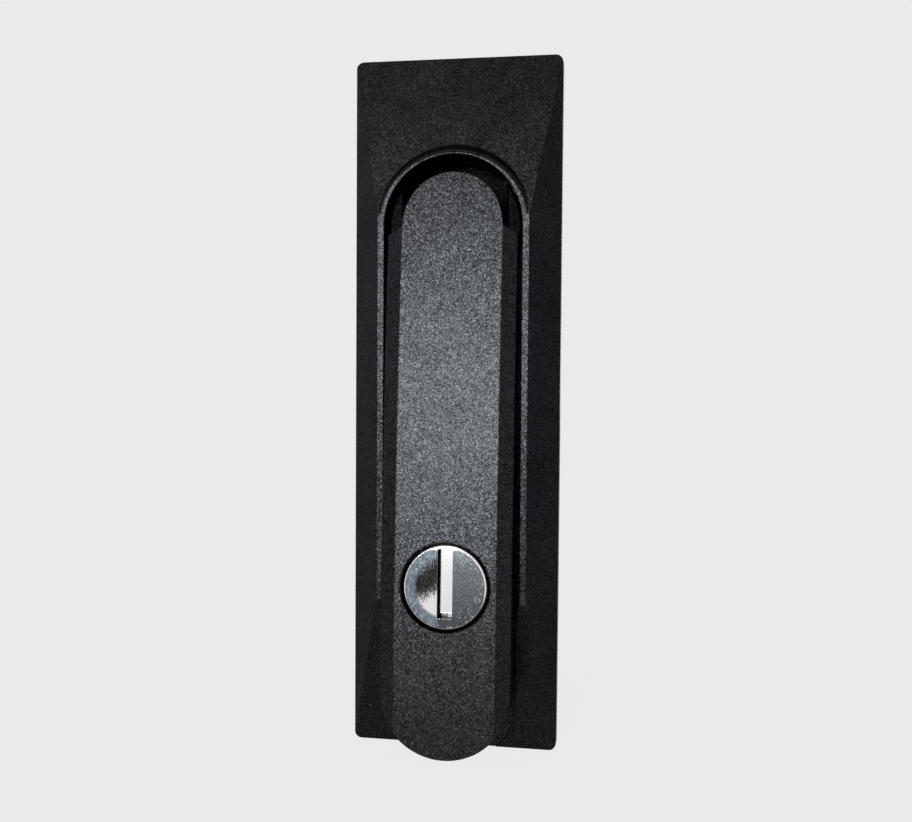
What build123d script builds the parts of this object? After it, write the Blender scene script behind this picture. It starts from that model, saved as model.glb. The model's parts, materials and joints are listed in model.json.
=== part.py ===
from build123d import *
from math import asin, atan, degrees, radians, sqrt, tan
import os

# Swing handle latch for a cabinet door, in millimetres.
# The panel's front face is y = 0, the latch faces -Y and +Z runs up to the pivot end.
# A height is a distance in front of the panel, so a negative height is behind it.

# Base plate. Places along the latch are given from its top and bottom edges or from a piece they go with.
plate_width = 45.0
plate_length = 149.5
plate_corner = 2.0
gasket_thickness = 1.0
gasket_inset = 1.0
gasket_clearance = 0.2
edge_thickness = 2.5
land_rise = 6.2
edge_round = 0.6
land_width = 1.4
land_above_pivot = 2.0
bottom_slope_length = 33.05
rim_land = 0.7
rim_draft = 32.0
rim_round = 0.8

# Recess that the handle lies over
recess_half_width = 14.8
recess_low_half_width = 13.85
recess_floor_wall = 1.8
step_from_bottom = 34.95
step_length = 7.4
recess_end_inset = 10.25

# Pivot bore and its boss behind the panel
pivot_inset = 36.35
bore_depth = 18.1
boss_wall = 2.0
boss_length = 20.0
boss_step_length = 11.0
boss_neck_radius = 15.9

# Fixing points
fixing_top_inset = 9.75
fixing_bottom_inset = 19.75
fixing_boss_radius = 4.6
fixing_boss_length = 8.0
insert_radius = 3.2
insert_bore = 2.1
insert_length = 7.0

# Rotor that the swing turns
rotor_clearance = 0.4
rotor_base_gap = 0.4
rotor_chamfer = 0.5
cheek_height = 6.6
slot_half_width = 11.0
slot_floor = -4.0
journal_radius = 9.0
journal_tail = 1.0
running_fit = 0.05
o_ring_section = 1.35
o_ring_width = 2.2
o_ring_height = -15.2
o_ring_play = 0.1
square_size = 8.0
square_corner = 0.8
square_fit = 0.05
washer_thickness = 1.0
washer_reach = 3.6
clip_thickness = 1.2
clip_depth = 0.7
clip_reach = 1.8
clip_eye_radius = 1.4
clip_eye_hole = 0.6
clip_eye_spread = 4.4
clip_play = 0.02
axial_gap = 0.05

# Hinge pin of the lift
pin_radius = 2.0
pin_height = 2.5
pin_inset = 0.2
pin_chamfer = 0.3

# Detent balls and springs in the rotor
ball_radius = 1.3
ball_orbit = 12.7
ball_hole_clearance = 0.05
ball_reach = 0.75
race_clearance = 0.15
spring_wire = 0.3
spring_play = 0.1
spring_turns = 6
spring_top = 0.0

# Swing stop
stop_thickness = 1.4
stop_rim = 0.6
stop_tab_reach = 15.4
stop_tab_width = 6.0
stop_tab_angle = 135.0
stop_post_width = 4.6
stop_post_inner = 13.1
stop_post_inset = 0.1
stop_gap = 0.3
swing_range = 90.0

# Rod cam and its screw
cam_thickness = 3.0
cam_width = 16.0
cam_length = 38.0
rod_hole_spacing = 28.0
rod_hole_radius = 3.1
screw_radius = 3.0
screw_length = 16.0
screw_tip = 0.6
screw_head_radius = 5.6
screw_head_height = 4.0
screw_clearance = 0.2
spring_washer_radius = 7.0
spring_washer_thickness = 1.2
socket_depth = 2.4
socket_radius = 2.9

# Handle
handle_gap = 0.3
handle_half_width = 13.8
handle_end_inset = 15.25
head_radius = 10.7
head_length = 11.2
shoulder_drop = 2.0
shoulder_rise = 1.8
neck_radius = 14.5
ear_height = 8.0
face_top_reach = 13.6
face_top_height = 8.9
face_tip_reach = 16.5
face_tip_height = 17.3
face_crown_radius = 1205.0
side_bevel_drop = 0.9
stock_margin = 1.0
lug_radius = 5.0
lug_cap_height = 4.1
lug_cap_tail = 8.0
finger_height = 10.8
finger_reach = 4.0
finger_slope = 2.0
roof_thickness = 2.2
side_wall = 2.3
pocket_top_drop = 25.4
pocket_end_reach = 3.5
rib_width = 1.5
rib_first = 9.0
rib_pitch = 10.0
rib_count = 3

# Lock barrel
barrel_from_end = 22.2
barrel_radius = 9.0
barrel_head = 2.5
barrel_boss_wall = 2.1
barrel_floor = 0.6
hub_radius = 7.0
hub_length = 1.15
barrel_clip_thickness = 0.45
barrel_clip_radius = 8.4
barrel_clip_gap = 5.0
mouth_bevel = 0.6
rim_bevel = 0.45
key_slot_width = 3.2
key_slot_depth = 2.2
key_slot_top = 8.0
key_slot_bottom = -6.4
key_slot_run_out = 0.8
crank_pin_radius = 1.4
weld = 0.05

# Lock bar, its straps and the keeper
bar_height = 10.9
bar_thickness = 1.2
bar_half_width = 6.5
bar_corner = 1.5
bar_above_barrel = 14.8
bar_slide = 4.0
slot_play = 0.15
tip_height = 7.5
tip_thickness = 1.4
tip_half_width = 5.0
tip_length = 6.4
tip_chamfer = 0.5
leg_from_end = 2.3
leg_thickness = 1.2
strap_thickness = 0.75
strap_play = 0.1
strap_width = 5.0
strap_corner = 1.2
strap_half_length = 11.2
strap_above_barrel = 9.3
strap_below_barrel = 12.7
strap_screw_x = 9.0
strap_boss_radius = 2.2
strap_screw_radius = 1.0
strap_screw_head = 1.7
strap_screw_length = 3.2
keeper_half_width = 6.0
keeper_foot = 2.0
keeper_from_leg = 3.3
keeper_length = 10.5
keeper_wall = 2.0
keeper_round = 1.0
keeper_tip_gap = 0.7
keeper_ledge = 1.2
keeper_gap = 0.3
keeper_screw_x = 3.4
keeper_screw_inset = 3.1
keeper_screw_radius = 1.5
keeper_screw_head = 2.5
keeper_screw_head_height = 1.4
keeper_screw_chamfer = 0.4
keeper_screw_length = 3.4

# Sizes that follow
land_half_width = recess_half_width + land_width
rim_half_height = recess_half_width + rim_land
edge_height = gasket_thickness + edge_thickness
land_height = edge_height + land_rise
recess_floor = gasket_thickness + recess_floor_wall
bore_floor = land_height - bore_depth
rotor_base = bore_floor + rotor_base_gap
rotor_radius = recess_half_width - rotor_clearance
ball_height = rotor_base - ball_reach + ball_radius
handle_underside = land_height + handle_gap
ledge_height = tip_height + tip_thickness + keeper_gap
washer_front = -boss_length - axial_gap
clip_front = washer_front - washer_thickness - axial_gap
clip_rear = clip_front - clip_thickness
journal_end = clip_rear - journal_tail
stop_front = journal_end
cam_front = stop_front - stop_thickness
cam_rear = cam_front - cam_thickness
screw_seat = cam_rear - spring_washer_thickness
square_hole = square_size + square_fit
strap_height = bar_height - strap_thickness - strap_play
boss_base = strap_height + strap_thickness
pocket_half_width = handle_half_width - side_wall
crank_throw = bar_slide / sqrt(2.0)
crank_side = crank_throw / sqrt(2.0)
stock_top = face_tip_height + 2 * stock_margin

# Places that follow
plate_top = plate_length / 2
plate_bottom = -plate_length / 2
pivot_z = plate_top - pivot_inset
fixing_z = (plate_top - fixing_top_inset, plate_bottom + fixing_bottom_inset)
top_slope_start = pivot_z + land_above_pivot
bottom_slope_start = plate_bottom + bottom_slope_length
step_start = plate_bottom + step_from_bottom
step_end = step_start - step_length
recess_end_centre = plate_bottom + recess_end_inset
handle_end_centre = plate_bottom + handle_end_inset
shoulder_outer_z = pivot_z - shoulder_drop
shoulder_inner_z = shoulder_outer_z + shoulder_rise
face_top_z = pivot_z + face_top_reach
face_tip_z = handle_end_centre - face_tip_reach
finger_start = handle_end_centre + finger_reach
pocket_top_z = pivot_z - pocket_top_drop
pocket_end_z = handle_end_centre - pocket_end_reach
barrel_z = handle_end_centre + barrel_from_end
bar_top_z = barrel_z + bar_above_barrel
strap_z = (barrel_z + strap_above_barrel, barrel_z - strap_below_barrel)
leg_z = handle_end_centre + leg_from_end
tip_end_z = leg_z - tip_length
keeper_foot_z = leg_z - keeper_from_leg
keeper_back_z = keeper_foot_z - keeper_length
keeper_ledge_z = tip_end_z - keeper_tip_gap
keeper_screw_z = keeper_foot_z - keeper_screw_inset


def front(height):
    """A plane that looks out of the front, at a height over the panel."""
    return Plane.XZ.offset(height)


def face_height(z):
    """Height of the crowned handle face at a place along the handle."""
    share = (z - face_tip_z) / (face_top_z - face_tip_z)
    chord = face_tip_height + share * (face_top_height - face_tip_height)
    return chord + (z - face_tip_z) * (face_top_z - z) / (2 * face_crown_radius)


def rod(height, length, radius, x=0.0, z=0.0, mode=Mode.ADD):
    """A round bar that starts at a height and runs towards the front."""
    with BuildSketch(front(height)) as section:
        with Locations((x, z)):
            Circle(radius)
    extrude(section.sketch, amount=length, mode=mode)


def ring(height, length, inner, outer, z=0.0, mode=Mode.ADD):
    """A plain ring round a line that runs front to back."""
    with BuildSketch(front(height)) as section:
        with Locations((0, z)):
            Circle(outer)
            Circle(inner, mode=Mode.SUBTRACT)
    extrude(section.sketch, amount=length, mode=mode)


def slab(points, half_width, mode=Mode.ADD):
    """A side profile of (height, z) points, run the same way to both sides."""
    with BuildSketch(Plane.YZ) as profile:
        with BuildLine():
            Polyline(*[(-height, z) for height, z in points], close=True)
        make_face()
    extrude(profile.sketch, amount=half_width, both=True, mode=mode)


def cross_hole(radius, height, z, half_length, mode=Mode.SUBTRACT):
    """A round bar or hole that runs from side to side."""
    with BuildSketch(Plane.YZ) as section:
        with Locations((-height, z)):
            Circle(radius)
    extrude(section.sketch, amount=half_length, both=True, mode=mode)


def countersunk(height, length, radius, head_radius, x, z, mode=Mode.ADD):
    """A countersunk screw, or its hole, whose head ends at a height and whose tip points forward."""
    head = head_radius - radius
    with BuildSketch(Plane(origin=(x, -height, z), x_dir=(1, 0, 0), z_dir=(0, 0, 1))) as profile:
        with BuildLine():
            Polyline((0, 0), (head_radius, 0), (radius, -head), (radius, -length), (0, -length), close=True)
        make_face()
    revolve(profile.sketch, axis=Axis((x, 0, z), (0, 1, 0)), mode=mode)


# Base plate

with BuildSketch(front(recess_floor)) as recess_outline:
    with BuildLine():
        CenterArc((0, pivot_z), recess_half_width, 0, 90)
        Line((recess_half_width, pivot_z), (recess_half_width, step_start))
        middle = (step_start + step_end) / 2
        Bezier(
            (recess_half_width, step_start),
            (recess_half_width, middle),
            (recess_low_half_width, middle),
            (recess_low_half_width, step_end),
        )
        Line((recess_low_half_width, step_end), (recess_low_half_width, recess_end_centre))
        CenterArc((0, recess_end_centre), recess_low_half_width, 0, -90)
        mirror(about=Plane.YZ)
    make_face()

# Raised rim that carries the land round the top of the recess, thinnest at the very top
with BuildPart() as rim:
    flare = land_rise * tan(radians(rim_draft))
    for height, wider in ((edge_height, flare), (land_height, 0)):
        with BuildSketch(front(height)):
            with Locations((0, pivot_z)):
                Ellipse(land_half_width + wider, rim_half_height + wider)
    loft()
    fillet(rim.edges().group_by(Axis.Y)[0], rim_round)

# Side profile and cross profile of the hip roof, with the brim rounded
with BuildSketch(Plane.YZ) as side_profile:
    with BuildLine():
        Polyline(
            (-gasket_thickness, plate_top),
            (-edge_height, plate_top),
            (-land_height, top_slope_start),
            (-land_height, bottom_slope_start),
            (-edge_height, plate_bottom),
            (-gasket_thickness, plate_bottom),
            close=True,
        )
    make_face()
    brim = side_profile.vertices().filter_by_position(Axis.X, -edge_height, -edge_height)
    fillet(brim, edge_round)

with BuildSketch(Plane.XY) as cross_profile:
    with BuildLine():
        Polyline(
            (plate_width / 2, -gasket_thickness),
            (plate_width / 2, -edge_height),
            (land_half_width, -land_height),
            (-land_half_width, -land_height),
            (-plate_width / 2, -edge_height),
            (-plate_width / 2, -gasket_thickness),
            close=True,
        )
    make_face()
    brim = cross_profile.vertices().filter_by_position(Axis.Y, -edge_height, -edge_height)
    fillet(brim, edge_round)

with BuildPart() as base_plate:
    # Slab with rounded corners, cut to a hip roof by the two profiles
    with BuildSketch(front(gasket_thickness)):
        RectangleRounded(plate_width, plate_length, plate_corner)
    extrude(amount=land_height - gasket_thickness)
    extrude(side_profile.sketch, amount=plate_width / 2, both=True, mode=Mode.INTERSECT)
    extrude(cross_profile.sketch, amount=plate_top, both=True, mode=Mode.INTERSECT)
    add(rim.part)
    # Boss behind the panel
    rod(-boss_step_length, boss_step_length + gasket_thickness, recess_half_width + boss_wall, z=pivot_z)
    rod(-boss_length, boss_length, boss_neck_radius, z=pivot_z)
    for z in fixing_z:
        rod(-fixing_boss_length, fixing_boss_length + gasket_thickness, fixing_boss_radius, z=z)
        rod(-fixing_boss_length, insert_length, insert_radius, z=z, mode=Mode.SUBTRACT)
    # Recess, bore and journal hole
    extrude(recess_outline.sketch, amount=land_height, mode=Mode.SUBTRACT)
    rod(bore_floor, bore_depth, recess_half_width, z=pivot_z, mode=Mode.SUBTRACT)
    rod(-boss_length, boss_length, journal_radius + running_fit, z=pivot_z, mode=Mode.SUBTRACT)
    # Race and dimples for the detent balls
    with Locations(Location((0, -ball_height, pivot_z), (90, 0, 0))):
        Torus(ball_orbit, ball_radius + race_clearance, mode=Mode.SUBTRACT)
        with PolarLocations(ball_orbit, 4):
            with Locations((0, 0, -race_clearance)):
                Sphere(ball_radius + race_clearance, mode=Mode.SUBTRACT)
    # Two posts that stop the swing
    clear_angle = asin((stop_tab_width / 2 + stop_gap) / stop_post_inner)
    lean = degrees(clear_angle + atan(stop_post_width / 2 / stop_post_inner))
    post_length = stop_thickness - boss_length - stop_front - stop_gap
    for angle in (stop_tab_angle - lean, stop_tab_angle + swing_range + lean):
        with BuildSketch(front(-boss_length - post_length)) as post:
            with Locations((0, pivot_z)):
                with PolarLocations((stop_post_inner + boss_neck_radius) / 2, 1, start_angle=angle):
                    Rectangle(boss_neck_radius - stop_post_inner - stop_post_inset, stop_post_width)
        extrude(post.sketch, amount=post_length)
    # Screw holes of the keeper
    for x in (-keeper_screw_x, keeper_screw_x):
        rod(gasket_thickness, recess_floor_wall, keeper_screw_radius, x, keeper_screw_z, Mode.SUBTRACT)

with BuildPart() as panel_gasket:
    with BuildSketch(front(0)):
        RectangleRounded(plate_width - 2 * gasket_inset, plate_length - 2 * gasket_inset, plate_corner)
        with Locations((0, pivot_z)):
            Circle(recess_half_width + boss_wall + gasket_clearance, mode=Mode.SUBTRACT)
        with Locations((0, fixing_z[0]), (0, fixing_z[1])):
            Circle(fixing_boss_radius + gasket_clearance, mode=Mode.SUBTRACT)
    extrude(amount=gasket_thickness)

with BuildPart() as thread_inserts:
    for z in fixing_z:
        ring(-fixing_boss_length, insert_length, insert_bore, insert_radius, z=z)

# Rotor and what turns with it

with BuildPart() as rotor:
    rod(rotor_base, cheek_height - rotor_base, rotor_radius, z=pivot_z)
    with BuildSketch(front(slot_floor)):
        with Locations((0, pivot_z)):
            Rectangle(2 * slot_half_width, 2 * rotor_radius)
    extrude(amount=cheek_height - slot_floor, mode=Mode.SUBTRACT)
    chamfer(rotor.edges().group_by(Axis.Y)[0], rotor_chamfer)
    rod(journal_end, rotor_base - journal_end, journal_radius, z=pivot_z)
    ring(o_ring_height, o_ring_width, journal_radius - o_ring_section, rotor_radius, pivot_z, Mode.SUBTRACT)
    ring(clip_rear, clip_thickness, journal_radius - clip_depth, rotor_radius, pivot_z, Mode.SUBTRACT)
    with BuildSketch(front(cam_rear + screw_clearance)):
        with Locations((0, pivot_z)):
            RectangleRounded(square_size, square_size, square_corner)
    extrude(amount=journal_end - cam_rear)
    rod(screw_seat, screw_length, screw_radius, z=pivot_z, mode=Mode.SUBTRACT)
    cross_hole(pin_radius, pin_height, pivot_z, rotor_radius)
    for x in (-ball_orbit, ball_orbit):
        hole_radius = ball_radius + ball_hole_clearance
        rod(rotor_base, spring_top - rotor_base, hole_radius, x, pivot_z, Mode.SUBTRACT)

with BuildPart() as rotor_o_ring:
    with BuildSketch(Plane.XY.offset(pivot_z)) as section:
        with Locations((journal_radius - o_ring_section / 2, -o_ring_height - o_ring_width / 2)):
            Ellipse((o_ring_section - clip_play) / 2, o_ring_width / 2 - o_ring_play)
    revolve(section.sketch, axis=Axis((0, 0, pivot_z), (0, 1, 0)))

with BuildPart() as thrust_washer:
    washer_bore = journal_radius + 2 * running_fit
    washer_edge = journal_radius + washer_reach
    ring(washer_front - washer_thickness, washer_thickness, washer_bore, washer_edge, z=pivot_z)

with BuildPart() as circlip:
    inner = journal_radius - clip_depth + clip_play
    outer = journal_radius + clip_reach
    clip_width = clip_thickness - 2 * clip_play
    ring(clip_rear + clip_play, clip_width, inner, outer, z=pivot_z)
    with BuildSketch(front(clip_rear)) as clip_gap:
        with Locations((0, pivot_z - outer)):
            Rectangle(2 * (clip_eye_spread - clip_eye_radius / 2), 2 * (outer - inner + clip_eye_radius / 2))
    extrude(clip_gap.sketch, amount=clip_thickness, mode=Mode.SUBTRACT)
    for x in (-clip_eye_spread, clip_eye_spread):
        eye_z = pivot_z - outer + clip_eye_hole
        rod(clip_rear + clip_play, clip_width, clip_eye_radius, x, eye_z)
        rod(clip_rear, clip_thickness, clip_eye_hole, x, eye_z, Mode.SUBTRACT)

with BuildPart() as stop_washer:
    with BuildSketch(front(stop_front - stop_thickness)):
        with Locations((0, pivot_z)):
            Circle(journal_radius + stop_rim)
            with PolarLocations(stop_tab_reach / 2, 1, start_angle=stop_tab_angle):
                Rectangle(stop_tab_reach, stop_tab_width)
            RectangleRounded(square_hole, square_hole, square_corner, mode=Mode.SUBTRACT)
    extrude(amount=stop_thickness)

with BuildPart() as rod_cam:
    # Oblong plate with a square hole and two holes that take the rods
    with BuildSketch(front(cam_rear)):
        with Locations((0, pivot_z)):
            SlotOverall(cam_length, cam_width)
            RectangleRounded(square_hole, square_hole, square_corner, mode=Mode.SUBTRACT)
        with Locations((-rod_hole_spacing / 2, pivot_z), (rod_hole_spacing / 2, pivot_z)):
            Circle(rod_hole_radius, mode=Mode.SUBTRACT)
    extrude(amount=cam_thickness)

with BuildPart() as cam_washer:
    ring(screw_seat, spring_washer_thickness, screw_radius + screw_clearance, spring_washer_radius, z=pivot_z)

with BuildPart() as cam_screw:
    rod(screw_seat, screw_length, screw_radius, z=pivot_z)
    rod(screw_seat - screw_head_height, screw_head_height, screw_head_radius, z=pivot_z)
    chamfer(cam_screw.edges().group_by(Axis.Y)[-1], screw_tip)
    with BuildSketch(front(screw_seat - screw_head_height)):
        with Locations((0, pivot_z)):
            RegularPolygon(socket_radius, 6)
    extrude(amount=socket_depth, mode=Mode.SUBTRACT)

with BuildPart() as hinge_pin:
    cross_hole(pin_radius, pin_height, pivot_z, rotor_radius - pin_inset, Mode.ADD)
    chamfer(hinge_pin.edges().filter_by(GeomType.CIRCLE), pin_chamfer)

with BuildPart() as detent_balls:
    with Locations((-ball_orbit, -ball_height, pivot_z), (ball_orbit, -ball_height, pivot_z)):
        Sphere(ball_radius)

with BuildPart() as detent_springs:
    spring_radius = ball_radius - spring_wire / 2 - spring_play
    spring_bottom = ball_height + ball_radius * 0.75
    spring_length = spring_top - spring_bottom - spring_wire
    for x in (-ball_orbit, ball_orbit):
        start = (x, -spring_bottom, pivot_z)
        with BuildLine() as coil:
            Helix(spring_length / spring_turns, spring_length, spring_radius, center=start, direction=(0, -1, 0))
        with BuildSketch(Plane(origin=coil.line @ 0, z_dir=coil.line % 0)) as wire:
            Circle(spring_wire / 2)
        sweep(wire.sketch, path=coil.line, is_frenet=True)

# Handle

with BuildSketch(front(handle_underside)) as handle_plan:
    with BuildLine():
        CenterArc((0, handle_end_centre), handle_half_width, 0, -90)
        Line((handle_half_width, handle_end_centre), (handle_half_width, shoulder_outer_z))
        Line((handle_half_width, shoulder_outer_z), (head_radius, shoulder_inner_z))
        Line((head_radius, shoulder_inner_z), (head_radius, pivot_z))
        EllipticalCenterArc((0, pivot_z), head_radius, head_length, 0, arc_size=90)
        mirror(about=Plane.YZ)
    make_face()

with BuildLine(Plane.YZ) as crown:
    middle_z = (face_top_z + face_tip_z) / 2
    ThreePointArc(
        (-face_top_height, face_top_z),
        (-face_height(middle_z), middle_z),
        (-face_tip_height, face_tip_z),
    )

# Barrel axis stands square on the face of the handle
barrel_lean = (face_height(barrel_z + 0.5) - face_height(barrel_z - 0.5)) / 1.0
barrel_front = Plane(
    origin=(0, -face_height(barrel_z), barrel_z),
    x_dir=(1, 0, 0),
    z_dir=(0, -1, -barrel_lean),
)


def barrel_rod(depth, length, radius, x=0.0, y=0.0, mode=Mode.ADD):
    """A round bar on the barrel's axis, from a depth under the face towards the front."""
    with BuildSketch(barrel_front.offset(-depth)) as section:
        with Locations((x, y)):
            Circle(radius)
    extrude(section.sketch, amount=length, mode=mode)


# Lug of the handle round the hinge pin, inside the rotor's slot
with BuildSketch(front(pin_height - lug_radius)) as lug_plan:
    with Locations((0, pivot_z)):
        Circle(head_radius)
    with Locations((0, pivot_z - lug_cap_tail)):
        Rectangle(2 * head_radius, 2 * lug_cap_tail)

with BuildPart() as lug:
    cross_hole(lug_radius, pin_height, pivot_z, head_radius, Mode.ADD)
    slab(
        [
            (lug_cap_height, pivot_z + head_radius + stock_margin),
            (stock_top, pivot_z + head_radius + stock_margin),
            (stock_top, pivot_z - lug_cap_tail),
            (lug_cap_height, pivot_z - lug_cap_tail),
        ],
        head_radius,
    )
    slab(
        [
            (pin_height, pivot_z + lug_radius),
            (stock_top, pivot_z + lug_radius),
            (stock_top, pivot_z - lug_radius),
            (pin_height, pivot_z - lug_radius),
        ],
        head_radius,
    )
    extrude(lug_plan.sketch, amount=stock_top + lug_radius, mode=Mode.INTERSECT)

with BuildPart() as handle:
    # Grip over the land, neck inside the bore and lug round the hinge pin
    extrude(handle_plan.sketch, amount=stock_top - handle_underside)
    with BuildSketch(front(ear_height)) as neck:
        add(handle_plan.sketch.moved(Location((0, handle_underside - ear_height, 0))))
        with Locations((0, pivot_z)):
            Circle(neck_radius, mode=Mode.INTERSECT)
    extrude(neck.sketch, amount=stock_top - ear_height)
    add(lug.part)
    # Crowned face with a bevel along each side
    with BuildSketch(Plane(origin=crown.line @ 0, x_dir=(1, 0, 0), z_dir=crown.line % 0)) as roof_section:
        with BuildLine():
            spread = handle_half_width - head_radius
            drop = side_bevel_drop * (spread + stock_margin) / spread
            Polyline(
                (head_radius, 0),
                (handle_half_width + stock_margin, -drop),
                (handle_half_width + stock_margin, -stock_top - lug_radius),
                (-handle_half_width - stock_margin, -stock_top - lug_radius),
                (-handle_half_width - stock_margin, -drop),
                (-head_radius, 0),
                close=True,
            )
        make_face()
    sweep(roof_section.sketch, path=crown.line, mode=Mode.INTERSECT)
    # Pocket under the grip, with ribs, the barrel's boss and the strap bosses
    with BuildSketch(Plane.YZ) as pocket:
        with BuildLine():
            pocket_middle_z = (pocket_top_z + pocket_end_z) / 2
            ceiling = [(-face_height(z) + roof_thickness, z) for z in (pocket_top_z, pocket_middle_z, pocket_end_z)]
            ThreePointArc(*ceiling)
            Polyline(ceiling[2], (-ear_height, pocket_end_z), (-ear_height, pocket_top_z), ceiling[0])
        make_face()
    extrude(pocket.sketch, amount=pocket_half_width, both=True, mode=Mode.SUBTRACT)
    for z in [pocket_top_z - rib_first - place * rib_pitch for place in range(rib_count)]:
        slab(
            [
                (finger_height, z + rib_width / 2),
                (face_height(z) - roof_thickness / 2, z + rib_width / 2),
                (face_height(z) - roof_thickness / 2, z - rib_width / 2),
                (finger_height, z - rib_width / 2),
            ],
            pocket_half_width + side_wall / 2,
        )
    boss_depth = barrel_head + barrel_floor
    barrel_rod(boss_depth, boss_depth - roof_thickness / 2, barrel_radius + barrel_boss_wall)
    for z in strap_z:
        for x in (-strap_screw_x, strap_screw_x):
            rod(boss_base, face_height(z) - roof_thickness / 2 - boss_base, strap_boss_radius, x, z)
            rod(boss_base, strap_screw_length, strap_screw_radius, x, z, Mode.SUBTRACT)
    # Finger room under the free end
    slab(
        [
            (ear_height, finger_start),
            (finger_height, finger_start - finger_slope),
            (finger_height, face_tip_z),
            (ear_height, face_tip_z),
        ],
        handle_half_width,
        Mode.SUBTRACT,
    )
    # Bores for the barrel and the hinge pin
    barrel_rod(barrel_head, barrel_head + stock_margin, barrel_radius + running_fit, mode=Mode.SUBTRACT)
    barrel_rod(boss_depth + stock_margin, boss_depth, hub_radius + running_fit, mode=Mode.SUBTRACT)
    with BuildSketch(barrel_front.offset(-mouth_bevel)) as mouth:
        Circle(barrel_radius + running_fit)
    extrude(mouth.sketch, amount=mouth_bevel + stock_margin / 2, taper=-45, mode=Mode.SUBTRACT)
    cross_hole(pin_radius + running_fit, pin_height, pivot_z, head_radius)

# Lock barrel, its clip and ring

with BuildPart() as barrel:
    barrel_rod(barrel_head - running_fit, barrel_head - running_fit, barrel_radius)
    chamfer(barrel.edges().group_by(Axis.Y)[0], rim_bevel)
    barrel_rod(barrel_head + hub_length, hub_length + running_fit, hub_radius)
    # Key slot with a run-out at its lower end
    with BuildSketch(Plane(origin=barrel_front.origin, x_dir=barrel_front.z_dir, z_dir=(-1, 0, 0))) as key_slot:
        with BuildLine():
            Polyline(
                (stock_margin, key_slot_bottom),
                (0, key_slot_bottom),
                (-key_slot_depth, key_slot_bottom + key_slot_run_out),
                (-key_slot_depth, key_slot_top),
                (stock_margin, key_slot_top),
                close=True,
            )
        make_face()
    extrude(key_slot.sketch, amount=key_slot_width / 2, both=True, mode=Mode.SUBTRACT)
    # Crank pin that moves the lock bar
    pin_top = barrel_head + hub_length
    pin_depth = face_height(barrel_z) - bar_height
    barrel_rod(pin_depth, pin_depth - pin_top + weld, crank_pin_radius, crank_side, crank_side)

with BuildPart() as barrel_clip:
    clip_depth_z = boss_depth + barrel_clip_thickness + axial_gap
    barrel_rod(clip_depth_z, barrel_clip_thickness, barrel_clip_radius)
    barrel_rod(clip_depth_z, barrel_clip_thickness, hub_radius, mode=Mode.SUBTRACT)
    with BuildSketch(barrel_front.offset(-clip_depth_z)) as gap:
        with Locations((0, -barrel_clip_radius)):
            Rectangle(barrel_clip_gap, 2 * (barrel_clip_radius - hub_radius + stock_margin))
    extrude(gap.sketch, amount=barrel_clip_thickness, mode=Mode.SUBTRACT)

# Lock bar and the straps that carry it

with BuildPart() as lock_bar:
    slab(
        [
            (bar_height, bar_top_z),
            (bar_height + bar_thickness, bar_top_z),
            (bar_height + bar_thickness, leg_z - leg_thickness),
            (bar_height, leg_z - leg_thickness),
        ],
        bar_half_width,
    )
    corners = lock_bar.edges().filter_by(Axis.Y)
    fillet(corners, bar_corner)
    slab(
        [
            (bar_height + bar_thickness, leg_z),
            (bar_height + bar_thickness, leg_z - leg_thickness),
            (tip_height + tip_thickness, leg_z - leg_thickness),
            (tip_height + tip_thickness, tip_end_z),
            (tip_height, tip_end_z),
            (tip_height, leg_z),
        ],
        tip_half_width,
    )
    chamfer(lock_bar.edges().group_by(Axis.Z)[0].sort_by(Axis.Y)[0], tip_chamfer)
    # Slot for the crank pin, which crosses it as the bar slides
    slot_centre_x = (crank_side + crank_throw) / 2
    slot_length = crank_throw - crank_side + 2 * (crank_pin_radius + slot_play)
    slot_centre_z = barrel_z + crank_side + barrel_lean * (pin_depth - bar_thickness / 2)
    with BuildSketch(front(bar_height)) as pin_slot:
        with Locations((slot_centre_x, slot_centre_z)):
            SlotOverall(slot_length, 2 * (crank_pin_radius + slot_play))
    extrude(pin_slot.sketch, amount=bar_thickness, mode=Mode.SUBTRACT)

with BuildPart() as bar_straps:
    for z in strap_z:
        with BuildSketch(front(strap_height)) as strap:
            with Locations((0, z)):
                RectangleRounded(2 * strap_half_length, strap_width, strap_corner)
        extrude(strap.sketch, amount=strap_thickness)
        for x in (-strap_screw_x, strap_screw_x):
            countersunk(strap_height, strap_screw_length, strap_screw_radius, strap_screw_head, x, z, Mode.SUBTRACT)

with BuildPart() as strap_screws:
    for z in strap_z:
        for x in (-strap_screw_x, strap_screw_x):
            countersunk(strap_height, strap_screw_length, strap_screw_radius, strap_screw_head, x, z)

# Keeper that the tip of the lock bar slides under

with BuildPart() as keeper:
    foot_top = recess_floor + keeper_foot
    slab(
        [
            (recess_floor, keeper_foot_z),
            (foot_top, keeper_foot_z),
            (foot_top, keeper_back_z + keeper_wall),
            (ledge_height, keeper_back_z + keeper_wall),
            (ledge_height, keeper_ledge_z),
            (ledge_height + keeper_ledge, keeper_ledge_z),
            (ledge_height + keeper_ledge, keeper_back_z),
            (recess_floor, keeper_back_z),
        ],
        keeper_half_width,
    )
    fillet(keeper.edges().group_by(Axis.Y)[0].filter_by(Axis.X).sort_by(Axis.Z)[0], keeper_round)
    for x in (-keeper_screw_x, keeper_screw_x):
        rod(recess_floor, keeper_foot, keeper_screw_radius, x, keeper_screw_z, Mode.SUBTRACT)

with BuildPart() as keeper_screws:
    for x in (-keeper_screw_x, keeper_screw_x):
        rod(foot_top - keeper_screw_length, keeper_screw_length, keeper_screw_radius, x, keeper_screw_z)
        rod(foot_top, keeper_screw_head_height, keeper_screw_head, x, keeper_screw_z)
    chamfer(keeper_screws.edges().group_by(Axis.Y)[0], keeper_screw_chamfer)

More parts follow.
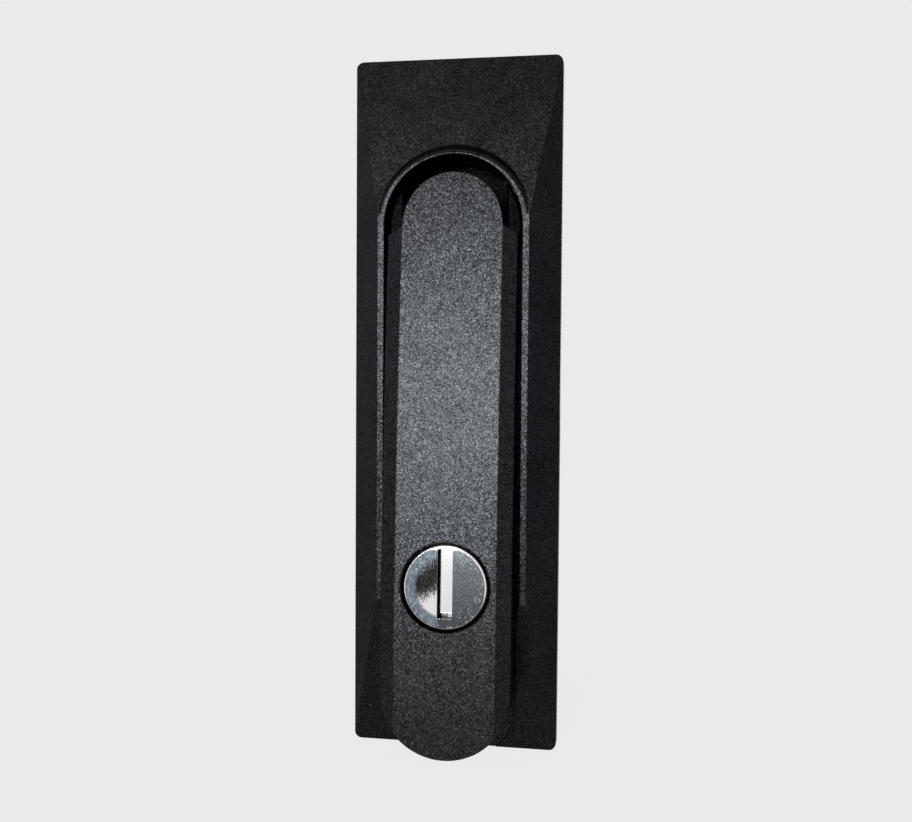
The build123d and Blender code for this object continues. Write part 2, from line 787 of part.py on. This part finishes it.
pieces = {
    "base_plate": base_plate,
    "panel_gasket": panel_gasket,
    "thread_inserts": thread_inserts,
    "keeper": keeper,
    "keeper_screws": keeper_screws,
    "rotor": rotor,
    "rotor_o_ring": rotor_o_ring,
    "thrust_washer": thrust_washer,
    "circlip": circlip,
    "stop_washer": stop_washer,
    "rod_cam": rod_cam,
    "cam_washer": cam_washer,
    "cam_screw": cam_screw,
    "hinge_pin": hinge_pin,
    "detent_balls": detent_balls,
    "detent_springs": detent_springs,
    "handle": handle,
    "barrel": barrel,
    "barrel_clip": barrel_clip,
    "lock_bar": lock_bar,
    "bar_straps": bar_straps,
    "strap_screws": strap_screws,
}
os.makedirs("parts", exist_ok=True)
for label, piece in pieces.items():
    piece.part.label = label
    export_step(piece.part, f"parts/{label}.step")
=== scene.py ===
import json
import math

import bpy
from mathutils import Matrix, Vector


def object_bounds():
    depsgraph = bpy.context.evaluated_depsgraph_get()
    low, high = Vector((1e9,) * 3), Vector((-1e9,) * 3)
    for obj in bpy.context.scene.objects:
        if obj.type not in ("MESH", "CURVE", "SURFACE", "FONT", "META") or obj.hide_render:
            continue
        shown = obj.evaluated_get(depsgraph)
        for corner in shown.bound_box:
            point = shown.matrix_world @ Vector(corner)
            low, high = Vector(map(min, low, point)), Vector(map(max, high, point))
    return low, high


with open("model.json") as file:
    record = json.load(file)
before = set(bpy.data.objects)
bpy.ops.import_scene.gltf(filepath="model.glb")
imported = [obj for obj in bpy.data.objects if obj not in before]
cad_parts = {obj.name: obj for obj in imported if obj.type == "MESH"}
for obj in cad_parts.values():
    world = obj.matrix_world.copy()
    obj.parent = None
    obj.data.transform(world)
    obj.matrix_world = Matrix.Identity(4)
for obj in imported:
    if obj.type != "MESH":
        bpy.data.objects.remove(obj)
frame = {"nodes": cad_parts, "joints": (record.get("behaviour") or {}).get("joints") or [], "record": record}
cad_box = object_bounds()

MM = 0.001

# The view of the photograph, found by fitting the model's edges to it
picture_width = 912
view_azimuth = math.radians(9.5526)
view_elevation = math.radians(2.5028)
view_roll = -0.0071039
view_focal_pixels = 1052.506
view_distance = 232.661 * MM
view_target = Vector((-0.6106, 0.0, -1.2471)) * MM
sensor_width = 36.0
nearest_seen = 0.01

# Surroundings: what the camera sees of them, what they add to the light, and the floor's own light
background_level = 0.823
world_fill = 0.05
world_fill_blue = 1.06
floor_plain_share = 0.9
floor_lit_level = 0.18
floor_levels = (0.5, 0.56)
floor_speck_size = 2.0
floor_half_width = 1.5
floor_fade = (250.0, 700.0)

# Soft boxes: azimuth and elevation, half width and half height in degrees, and radiance
light_distance = 2.0
soft_boxes = {
    "front": (-10, 6, 7, 10, 37.0),
    "left": (-82, 8, 25, 30, 0.25),
    "behind": (190, 15, 28, 25, 1.5),
    "above": (-20, 78, 20, 12, 1.2),
}

# Lengths of the materials are in millimetres, and each pair is a span with its start and its end
edge_samples = 6
noise_middle = 0.5
noise_span = (0.3, 0.7)
noise_core = (0.35, 0.65)

# Black coat
coat_tint = (0.93, 1.0, 1.07)
coat_edge_tint = 0.62
wave_size = 6.0
wave_depth = 0.04
wave_strength = 0.6
patch_size = 9.0
patch_noise = (0.36, 0.64)
flake_spacing = 1.1
flake_shine = (0.35, 1.65)
flake_roughness = (-0.06, 0.06)
cloud_size = 3.0
cloud_roughness = 0.03
dust_size = 0.45
dust_noise = (0.63, 0.8)
worn_pointiness = (0.53, 0.62)
worn_level = 0.18
worn_blue = 1.05
lint_spacing = 4.5
lint_radius = (0.04, 0.025)
lint_chance = (0.75, 0.8)
lint_level = 0.16

# Painted shade in the handle's coat: a dark ring round the barrel, where the gap at the bore's edge lies in
# shadow
bore_shade_edge = (9.4, 9.52)
bore_wobble_size = 0.8
bore_wobble = 0.5
bore_shade_level = 0.0005

# Bare and plated metal
turned_stretch = (1.0, 0.25, 9.0)
tarnish_size = 3.5
tarnish_noise = (0.35, 0.7)
tarnish_roughness = (0.8, 1.25)

# Gasket
skin_size = 0.5
skin_depth = 0.06
skin_roughness = (0.6, 0.8)
skin_shine = 0.3
bloom_size = 7.0
bloom_noise = (0.4, 0.75)
rubber_black = (0.014, 0.014, 0.014, 1.0)
rubber_bloom = (0.03, 0.03, 0.0315, 1.0)

# Face of the lock barrel, measured from its middle: surface, and colours that paint its reflections,
# highlights and shade
brush_stretch = (4.0, 1.0, 0.6)
brush_depth = 0.003
barrel_edge_radius = 0.08
barrel_roughness = (0.05, 0.11)
grain_size = 0.3
grain_shine = 0.15
glint_size = 0.32
ragged_reach = 3.0
barrel_reflection_grey = (0.19, 0.202, 0.208, 1.0)
barrel_reflection_dull = (0.036, 0.041, 0.043, 1.0)
barrel_painted_glint = (0.5, 0.54, 0.57, 1.0)
barrel_brushed_reflection = (0.29, 0.33, 0.37, 1.0)
barrel_brushed_reflection_low = (0.09, 0.115, 0.14, 1.0)
barrel_painted_dark = (0.008, 0.008, 0.007, 1.0)
barrel_painted_dark_mottle = (0.07, 0.069, 0.063, 1.0)
barrel_painted_bright = (0.82, 0.82, 0.82, 1.0)
barrel_painted_slot_end = (0.09, 0.09, 0.09, 1.0)
barrel_painted_rim_highlight = (0.85, 0.85, 0.85, 1.0)

# Its right half: a painted reflection, darker towards the bottom, with painted glints
shade_height = (-9.0, 9.0)
shade_raggedness = 6.0
edge_glint_chance = (0.86, 0.96)
edge_glint_ring = (5.0, 8.0)
edge_glint_shine = 0.75
top_glint_height = (5.0, 7.0)
top_glint_noise = (0.45, 0.65)
top_glint_shine = 0.6

# Its left half: brush streaks with a painted reflection outside, and inside a painted bright reflection torn
# by a painted dark reflection
brushed_border = (-1.0, -2.2)
brushed_glint_chance = (0.88, 0.97)
brushed_glint_shine = 0.7
bright_middle = (0.4, 0.0, 0.4)
bright_radius = (7.0, 6.4)
bright_raggedness = 0.4
bright_roof_slope = 0.79
bright_roof = (8.6, 6.0)
bright_border = (-1.5, -1.7)
reflection_stretch = (3.6, 1.0, 1.4)
dark_reflection_noise = (0.42, 0.6)
reflection_tear = 9.0
dark_reflection_slope = 0.44
dark_reflection_height = (-1.3, 1.1)

# Its slot and rim, painted: bright slot floor, grey slot end, shaded wall, and highlights on crown and rim
slot_floor_depth = (0.6, 1.0)
slot_end_height = (-5.5, -6.1)
slot_end_middle = -0.25
slot_end_half_width = (0.95, 0.7)
wall_half_width = (1.5, 1.56)
wall_depth = (0.1, 0.2)
wall_radius = (8.6, 8.4)
crown_highlight_height = (7.6, 7.9)
crown_highlight_depth = (0.6, 0.3)
rim_highlight_height = (-4.0, -1.0)
rim_radius = (8.38, 8.46)


class Nodes:
    """A material's nodes, made and linked with few words."""

    def __init__(self, name):
        self.material = bpy.data.materials.new(name)
        self.material.use_nodes = True
        self.tree = self.material.node_tree
        self.tree.nodes.clear()

    def add(self, kind, inputs=None, **settings):
        node = self.tree.nodes.new(kind)
        for key, value in settings.items():
            setattr(node, key, value)
        for key, value in (inputs or {}).items():
            if isinstance(value, bpy.types.NodeSocket):
                self.tree.links.new(value, node.inputs[key])
            else:
                node.inputs[key].default_value = value
        return node

    def vector(self, operation, *inputs):
        return self.add("ShaderNodeVectorMath", dict(enumerate(inputs)), operation=operation).outputs[0]

    def scale(self, vector, factor):
        return self.add("ShaderNodeVectorMath", {0: vector, "Scale": factor}, operation="SCALE").outputs[0]

    def length(self, vector):
        return self.add("ShaderNodeVectorMath", {0: vector}, operation="LENGTH").outputs["Value"]

    def dot(self, first, second):
        node = self.add("ShaderNodeVectorMath", {0: first, 1: second}, operation="DOT_PRODUCT")
        return node.outputs["Value"]

    def place(self):
        """The point in the row frame, in millimetres, carried along with its body."""
        return self.scale(self.add("ShaderNodeTexCoord").outputs["Object"], 1 / MM)

    def off_axis(self, point, centre):
        """How far the point is from a line along y through the centre."""
        offset = self.vector("SUBTRACT", point, centre)
        return self.length(self.vector("MULTIPLY", offset, (1.0, 0.0, 1.0)))

    def noise(self, point, size, detail=2.0, roughness=0.5):
        """Noise whose features are about size millimetres wide."""
        node = self.add("ShaderNodeTexNoise", {"Vector": point, "Scale": 1 / size,
                                               "Detail": detail, "Roughness": roughness})
        return node.outputs["Fac"]

    def stretched_noise(self, point, factors, roughness=0.65):
        """Noise with features of a millimetre, divided by the factor along each axis."""
        return self.noise(self.vector("MULTIPLY", point, factors), 1.0, detail=4.0, roughness=roughness)

    def uneven(self, noise, reach):
        """The noise moved to lie round zero and spread over that reach."""
        return self.times(self.minus(noise, noise_middle), reach)

    def cells(self, point, size):
        """Three random shares for each cell about size millimetres wide, as one colour."""
        return self.add("ShaderNodeTexVoronoi", {"Vector": point, "Scale": 1 / size}).outputs["Color"]

    def channels(self, colour):
        return self.add("ShaderNodeSeparateColor", {"Color": colour}).outputs

    def spread(self, value, span, onto=(0.0, 1.0), smooth=False):
        """The value's way through the span, laid onto another span and held at its ends."""
        node = self.add("ShaderNodeMapRange", {"Value": value, "From Min": span[0], "From Max": span[1],
                                               "To Min": onto[0], "To Max": onto[1]})
        node.interpolation_type = "SMOOTHSTEP" if smooth else "LINEAR"
        return node.outputs["Result"]

    def math(self, operation, *inputs):
        return self.add("ShaderNodeMath", dict(enumerate(inputs)), operation=operation).outputs[0]

    def plus(self, first, second):
        return self.math("ADD", first, second)

    def minus(self, first, second):
        return self.math("SUBTRACT", first, second)

    def times(self, first, second):
        return self.math("MULTIPLY", first, second)

    def mix(self, share, first, second):
        node = self.add("ShaderNodeMix", data_type="RGBA")
        for socket, value in ((node.inputs[0], share), (node.inputs[6], first), (node.inputs[7], second)):
            if isinstance(value, bpy.types.NodeSocket):
                self.tree.links.new(value, socket)
            else:
                socket.default_value = value
        return node.outputs[2]

    def blend(self, share, first, second):
        return self.add("ShaderNodeMixShader", {0: share, 1: first.outputs[0], 2: second.outputs[0]})

    def bump(self, height, depth, normal=None, strength=1.0):
        """A bump whose full range is depth millimetres."""
        inputs = {"Height": height, "Distance": depth * MM, "Strength": strength}
        if normal is not None:
            inputs["Normal"] = normal
        return self.add("ShaderNodeBump", inputs).outputs["Normal"]

    def soft_edges(self, radius):
        return self.add("ShaderNodeBevel", {"Radius": radius * MM}, samples=edge_samples).outputs["Normal"]

    def principled(self, **sockets):
        inputs = {key.replace("_", " "): value for key, value in sockets.items()}
        return self.add("ShaderNodeBsdfPrincipled", inputs)

    def finish(self, shader):
        self.add("ShaderNodeOutputMaterial", {"Surface": shader.outputs[0]})
        return self.material


def grey(level, blue=1.0):
    return (level, level, level * blue, 1.0)


def blue_black(level):
    return (*(level * channel for channel in coat_tint), 1.0)


def barrel_joint():
    return next(joint for joint in frame["joints"] if joint["name"] == "key_turn")


def barrel_middle():
    """The middle of the barrel's face."""
    return Vector(barrel_joint()["pos_m"]) / MM


def flake_normal(nodes, point, normal, size, tilt):
    """Tilts the surface of each flake its own way, as in a coat with fine sparkle."""
    centred = nodes.vector("SUBTRACT", nodes.cells(point, size), (0.5, 0.5, 0.5))
    return nodes.vector("NORMALIZE", nodes.vector("ADD", normal, nodes.scale(centred, tilt)))


def black_coat(name, sheen, clouds, roughness, grain, grain_depth, tilt, edge_radius, bore=None):
    """Black stoved coat over cast zinc: dark flakes of uneven shine, grain, faint dust and rubbed edges.

    sheen is how much a flake reflects, clouds how much patches differ in it, grain a flake's size,
    tilt how far it leans, and bore the middle of a bore round which a dark ring of painted shade stands for
    the shadow in its gap.
    """
    nodes = Nodes(name)
    point = nodes.place()
    grains = nodes.noise(point, grain, detail=3.0, roughness=0.6)
    waves = nodes.noise(point, wave_size, detail=2.0)
    raised = nodes.bump(waves, wave_depth, normal=nodes.soft_edges(edge_radius), strength=wave_strength)
    sparkling = flake_normal(nodes, point, nodes.bump(grains, grain_depth, normal=raised), grain, tilt)

    # Uneven shine, from patch to patch and from flake to flake
    chance = nodes.channels(nodes.cells(point, grain * flake_spacing))
    patches = nodes.spread(nodes.noise(point, patch_size, detail=3.0), patch_noise,
                           onto=(1.0 - clouds, 1.0 + clouds / 2))
    shine = nodes.times(patches, nodes.spread(chance[0], (0.0, 1.0), onto=flake_shine))
    colour = nodes.mix(nodes.times(shine, 0.5), grey(0.0), blue_black(sheen * 2.0))

    # Rubbed edges and a few light specks of lint
    dust = nodes.spread(nodes.noise(point, dust_size, detail=4.0, roughness=0.7), dust_noise)
    pointiness = nodes.add("ShaderNodeNewGeometry").outputs["Pointiness"]
    worn = nodes.times(nodes.spread(pointiness, worn_pointiness), dust)
    colour = nodes.mix(worn, colour, grey(worn_level, worn_blue))
    lint = nodes.add("ShaderNodeTexVoronoi", {"Vector": point, "Scale": 1 / lint_spacing}).outputs
    specks = nodes.times(nodes.spread(lint["Distance"], lint_radius),
                         nodes.spread(nodes.channels(lint["Color"])[0], lint_chance))
    colour = nodes.mix(specks, colour, grey(lint_level))

    # Painted shade: a dark ring round the bore, for the shadow in the gap between handle and barrel
    if bore is not None:
        wobble = nodes.uneven(nodes.noise(point, bore_wobble_size), bore_wobble)
        outside = nodes.spread(nodes.plus(nodes.off_axis(point, bore), wobble), bore_shade_edge)
        colour = nodes.mix(outside, grey(bore_shade_level), colour)

    cloudy = nodes.spread(nodes.noise(point, cloud_size, detail=4.0), noise_span,
                          onto=(roughness - cloud_roughness, roughness + cloud_roughness))
    spotty = nodes.plus(cloudy, nodes.spread(chance[1], (0.0, 1.0), onto=flake_roughness))
    return nodes.finish(nodes.principled(
        Base_Color=colour, Metallic=1.0, Specular_Tint=grey(coat_edge_tint),
        Roughness=spotty, Normal=sparkling))


def metal(name, colour, roughness, streak_depth, edge_radius, stain_and_painted_dark):
    """Bare or plated metal with streaks along one direction, faint stains and soft edges."""
    nodes = Nodes(name)
    point = nodes.place()
    streaks = nodes.stretched_noise(point, turned_stretch)
    clouds = nodes.noise(point, tarnish_size, detail=4.0, roughness=0.6)
    stained = tuple(channel * (1.0 - stain_and_painted_dark) for channel in colour)
    tone = nodes.spread(clouds, tarnish_noise, onto=(1.0 - stain_and_painted_dark, 1.0))
    return nodes.finish(nodes.principled(
        Base_Color=nodes.mix(tone, (*stained, 1.0), (*colour, 1.0)), Metallic=1.0,
        Roughness=nodes.spread(clouds, noise_span, onto=[roughness * share for share in tarnish_roughness]),
        Normal=nodes.bump(streaks, streak_depth, normal=nodes.soft_edges(edge_radius))))


def barrel_chrome(name):
    """Face of the lock barrel, with its reflections, highlights and shade painted into its colour: ground,
    brush-streaked and dark areas, a bright slot and a bright rim.
    """
    nodes = Nodes(name)
    point = nodes.place()
    local = nodes.vector("SUBTRACT", point, barrel_middle())
    depth = nodes.dot(local, Vector(barrel_joint()["axis"]))
    across, _, along = nodes.add("ShaderNodeSeparateXYZ", {0: local}).outputs
    out = nodes.off_axis(local, (0.0, 0.0, 0.0))
    streaks = nodes.stretched_noise(point, brush_stretch)
    grains = nodes.noise(point, grain_size, detail=3.0, roughness=0.65)
    ragged = nodes.uneven(grains, ragged_reach)
    glints = nodes.channels(nodes.cells(point, glint_size))

    # Right half: a painted reflection, dull grey and darker towards the bottom, with painted glints near its
    # edge
    shade = nodes.spread(nodes.plus(along, nodes.times(ragged, shade_raggedness)), shade_height)
    colour = nodes.mix(shade, barrel_reflection_dull, barrel_reflection_grey)
    # Painted glints: mottled light from the grain, and sparkles near the edge and at the top
    colour = nodes.mix(nodes.spread(grains, noise_core, onto=(0.0, grain_shine)), colour, barrel_painted_glint)
    edge_glints = nodes.times(nodes.spread(glints[0], edge_glint_chance),
                              nodes.spread(out, edge_glint_ring, onto=(0.0, edge_glint_shine)))
    top_glints = nodes.times(nodes.spread(along, top_glint_height),
                             nodes.spread(grains, top_glint_noise, onto=(0.0, top_glint_shine)))
    colour = nodes.mix(nodes.math("MAXIMUM", edge_glints, top_glints), colour, barrel_painted_glint)

    # Left half outside: brush streaks under a painted bluish reflection, with painted glints
    brushed_reflection = nodes.mix(nodes.spread(streaks, noise_core), barrel_brushed_reflection_low, barrel_brushed_reflection)
    glinting = nodes.spread(glints[1], brushed_glint_chance, onto=(0.0, brushed_glint_shine))
    brushed_reflection = nodes.mix(glinting, brushed_reflection, barrel_painted_glint)
    colour = nodes.mix(nodes.spread(nodes.plus(across, ragged), brushed_border), colour, brushed_reflection)

    # Left half: a painted bright reflection inside a round border and under a slanting one, with a painted
    # dark reflection at the top
    upright = nodes.stretched_noise(point, reflection_stretch, roughness=0.7)
    torn = nodes.uneven(upright, reflection_tear)
    reach = nodes.plus(nodes.off_axis(local, bright_middle), nodes.times(ragged, bright_raggedness))
    roof = nodes.minus(along, nodes.times(across, bright_roof_slope))
    inner = nodes.times(nodes.spread(reach, bright_radius),
                        nodes.spread(nodes.plus(roof, torn), bright_roof, smooth=True))
    inner = nodes.times(nodes.spread(across, bright_border), inner)
    mottled = nodes.mix(nodes.spread(upright, dark_reflection_noise), barrel_painted_dark, barrel_painted_dark_mottle)
    slanted = nodes.minus(along, nodes.times(across, dark_reflection_slope))
    # Painted dark reflection with a torn edge, over the top of the bright one
    stain_and_painted_dark = nodes.spread(nodes.plus(slanted, torn), dark_reflection_height, smooth=True)
    colour = nodes.mix(inner, colour, nodes.mix(stain_and_painted_dark, barrel_painted_bright, mottled))

    # Slot floor painted bright as a reflection, its lower end painted grey, and the slot's left wall painted
    # dark as shade
    colour = nodes.mix(nodes.spread(depth, slot_floor_depth), colour, barrel_painted_bright)
    # Painted grey at the slot's lower end, where the reflection in its floor darkens
    off_middle = nodes.math("ABSOLUTE", nodes.minus(across, slot_end_middle))
    end = nodes.times(nodes.spread(along, slot_end_height), nodes.spread(off_middle, slot_end_half_width))
    colour = nodes.mix(end, colour, barrel_painted_slot_end)
    # Painted shade on the slot's left wall, which also loses its edge tint
    beside_slot = nodes.spread(nodes.math("ABSOLUTE", across), wall_half_width)
    below_face = nodes.times(beside_slot, nodes.spread(depth, wall_depth))
    painted_wall_shade = nodes.times(below_face, nodes.spread(out, wall_radius))
    colour = nodes.mix(painted_wall_shade, colour, barrel_painted_dark)

    # Painted highlights: a bright crown above the slot, and the bevelled rim bright at the top and grey
    # below
    crown_highlight = nodes.times(nodes.spread(along, crown_highlight_height), nodes.spread(depth, crown_highlight_depth))
    colour = nodes.mix(crown_highlight, colour, barrel_painted_rim_highlight)
    rim = nodes.mix(nodes.spread(nodes.plus(along, ragged), rim_highlight_height), barrel_reflection_grey, barrel_painted_rim_highlight)
    colour = nodes.mix(nodes.spread(out, rim_radius), colour, rim)

    return nodes.finish(nodes.principled(
        Base_Color=colour, Metallic=1.0,
        Roughness=nodes.spread(grains, noise_span, onto=barrel_roughness),
        # The slot wall under the painted shade gets no edge tint
        Specular_Tint=nodes.mix(painted_wall_shade, grey(1.0), grey(0.0)),
        Normal=nodes.bump(streaks, brush_depth, normal=nodes.soft_edges(barrel_edge_radius))))


def gasket_rubber(name):
    """Black rubber with a faint pale bloom."""
    nodes = Nodes(name)
    point = nodes.place()
    skin = nodes.noise(point, skin_size, detail=5.0, roughness=0.65)
    bloom = nodes.spread(nodes.noise(point, bloom_size, detail=3.0), bloom_noise)
    return nodes.finish(nodes.principled(
        Base_Color=nodes.mix(bloom, rubber_black, rubber_bloom),
        Roughness=nodes.spread(skin, noise_span, onto=skin_roughness),
        Specular_IOR_Level=skin_shine, Normal=nodes.bump(skin, skin_depth)))


def make_materials():
    return {
        "powder_coat": black_coat(
            "powder_coat", sheen=0.0135, clouds=0.2, roughness=0.3,
            grain=0.23, grain_depth=0.02, tilt=0.17, edge_radius=0.3),
        "handle_coat": black_coat(
            "handle_coat", sheen=0.016, clouds=0.05, roughness=0.3,
            grain=0.22, grain_depth=0.018, tilt=0.17, edge_radius=0.3, bore=barrel_middle()),
        # The rotor's coat has almost no sheen, so that it is painted shade in the recess round the handle's
        # head
        "rotor_zinc": black_coat(
            "rotor_zinc", sheen=0.002, clouds=0.1, roughness=0.5,
            grain=0.3, grain_depth=0.02, tilt=0.1, edge_radius=0.25),
        "chrome": barrel_chrome("chrome"),
        "zinc_steel": metal(
            "zinc_steel", (0.55, 0.57, 0.6), roughness=0.35,
            streak_depth=0.01, edge_radius=0.12, stain_and_painted_dark=0.25),
        "dark_steel": metal(
            "dark_steel", (0.06, 0.06, 0.065), roughness=0.42,
            streak_depth=0.01, edge_radius=0.1, stain_and_painted_dark=0.3),
        "bright_steel": metal(
            "bright_steel", (0.6, 0.6, 0.6), roughness=0.18,
            streak_depth=0.004, edge_radius=0.08, stain_and_painted_dark=0.15),
        "brass": metal(
            "brass", (0.72, 0.5, 0.2), roughness=0.26,
            streak_depth=0.008, edge_radius=0.1, stain_and_painted_dark=0.25),
        "gasket_rubber": gasket_rubber("gasket_rubber"),
    }


def dress_frame():
    """The materials that the record names, but for the hinge pin, which is blackened."""
    made = make_materials()
    for part in frame["record"]["subparts"]:
        look = "dark_steel" if part["node"] == "hinge_pin" else part["material_slot"]
        for slot in frame["nodes"][part["node"]].material_slots:
            slot.material = made[look]


def towards(azimuth, elevation):
    """The direction from the object to what is at those angles."""
    return Vector((math.sin(azimuth) * math.cos(elevation),
                   -math.cos(azimuth) * math.cos(elevation),
                   math.sin(elevation)))


def set_camera():
    back = towards(view_azimuth, view_elevation)
    right = Vector((math.cos(view_azimuth), math.sin(view_azimuth), 0.0))
    up = back.cross(right)
    across = math.cos(view_roll) * right - math.sin(view_roll) * up
    upward = math.sin(view_roll) * right + math.cos(view_roll) * up
    data = bpy.data.cameras.new("camera")
    data.sensor_width = sensor_width
    data.lens = view_focal_pixels / picture_width * sensor_width
    data.clip_start = nearest_seen
    camera = bpy.data.objects.new("camera", data)
    bpy.context.scene.collection.objects.link(camera)
    place = view_target + view_distance * back
    camera.matrix_world = Matrix((
        (across.x, upward.x, back.x, place.x),
        (across.y, upward.y, back.y, place.y),
        (across.z, upward.z, back.z, place.z),
        (0.0, 0.0, 0.0, 1.0)))
    bpy.context.scene.camera = camera


def seen_directly(tree):
    """One for the camera and for what metal and glass show of the background."""
    path = tree.nodes.new("ShaderNodeLightPath")
    seen = path.outputs["Is Camera Ray"]
    for ray in ("Is Glossy Ray", "Is Transmission Ray"):
        either = tree.nodes.new("ShaderNodeMath")
        either.operation = "MAXIMUM"
        tree.links.new(seen, either.inputs[0])
        tree.links.new(path.outputs[ray], either.inputs[1])
        seen = either.outputs[0]
    return seen


def set_world():
    """A pale background where it is seen, and a dim one for the light that it gives."""
    world = bpy.data.worlds.new("world")
    world.use_nodes = True
    tree = world.node_tree
    tree.nodes.clear()
    shown = tree.nodes.new("ShaderNodeBackground")
    shown.inputs["Color"].default_value = grey(background_level)
    dim = tree.nodes.new("ShaderNodeBackground")
    dim.inputs["Color"].default_value = grey(world_fill, world_fill_blue)
    choice = tree.nodes.new("ShaderNodeMixShader")
    tree.links.new(seen_directly(tree), choice.inputs[0])
    tree.links.new(dim.outputs[0], choice.inputs[1])
    tree.links.new(shown.outputs[0], choice.inputs[2])
    output = tree.nodes.new("ShaderNodeOutputWorld")
    tree.links.new(choice.outputs[0], output.inputs["Surface"])
    bpy.context.scene.world = world


def floor_material():
    """A pale floor: most of what the camera sees of it is even, the rest takes light and shadow.

    Far from the latch it passes into the background, so that no line parts them.
    """
    nodes = Nodes("pale_floor")
    point = nodes.place()
    seen = seen_directly(nodes.tree)
    speck = nodes.noise(point, floor_speck_size, detail=3.0)
    lit = nodes.add("ShaderNodeBsdfDiffuse", {"Color": nodes.mix(speck, *map(grey, floor_levels))})
    even_level = (background_level - (1.0 - floor_plain_share) * floor_lit_level) / floor_plain_share
    even = nodes.add("ShaderNodeEmission", {"Color": grey(even_level)})
    near = nodes.blend(nodes.times(seen, floor_plain_share), lit, even)
    far = nodes.add("ShaderNodeEmission", {"Color": grey(background_level)})
    fade = nodes.times(seen, nodes.spread(nodes.length(point), floor_fade, smooth=True))
    return nodes.finish(nodes.blend(fade, near, far))


def set_floor():
    low = cad_box[0][2]
    half = floor_half_width
    mesh = bpy.data.meshes.new("floor")
    corners = [(-half, -half, low), (half, -half, low), (half, half, low), (-half, half, low)]
    mesh.from_pydata(corners, [], [(0, 1, 2, 3)])
    mesh.materials.append(floor_material())
    floor = bpy.data.objects.new("floor", mesh)
    bpy.context.scene.collection.objects.link(floor)


def soft_light(name, azimuth, elevation, half_width, half_height, radiance):
    """A soft box seen from the object at those angles, in degrees, with that even radiance."""
    away = towards(math.radians(azimuth), math.radians(elevation))
    data = bpy.data.lights.new(name, "AREA")
    data.shape = "RECTANGLE"
    data.size = 2 * light_distance * math.tan(math.radians(half_width))
    data.size_y = 2 * light_distance * math.tan(math.radians(half_height))
    data.energy = radiance * math.pi * data.size * data.size_y
    light = bpy.data.objects.new(name, data)
    light.location = light_distance * away
    light.rotation_euler = away.to_track_quat("Z", "Y").to_euler()
    bpy.context.scene.collection.objects.link(light)


dress_frame()
set_floor()
set_world()
for box_name, box in soft_boxes.items():
    soft_light(box_name, *box)
set_camera()
bpy.context.scene.view_settings.view_transform = "Standard"
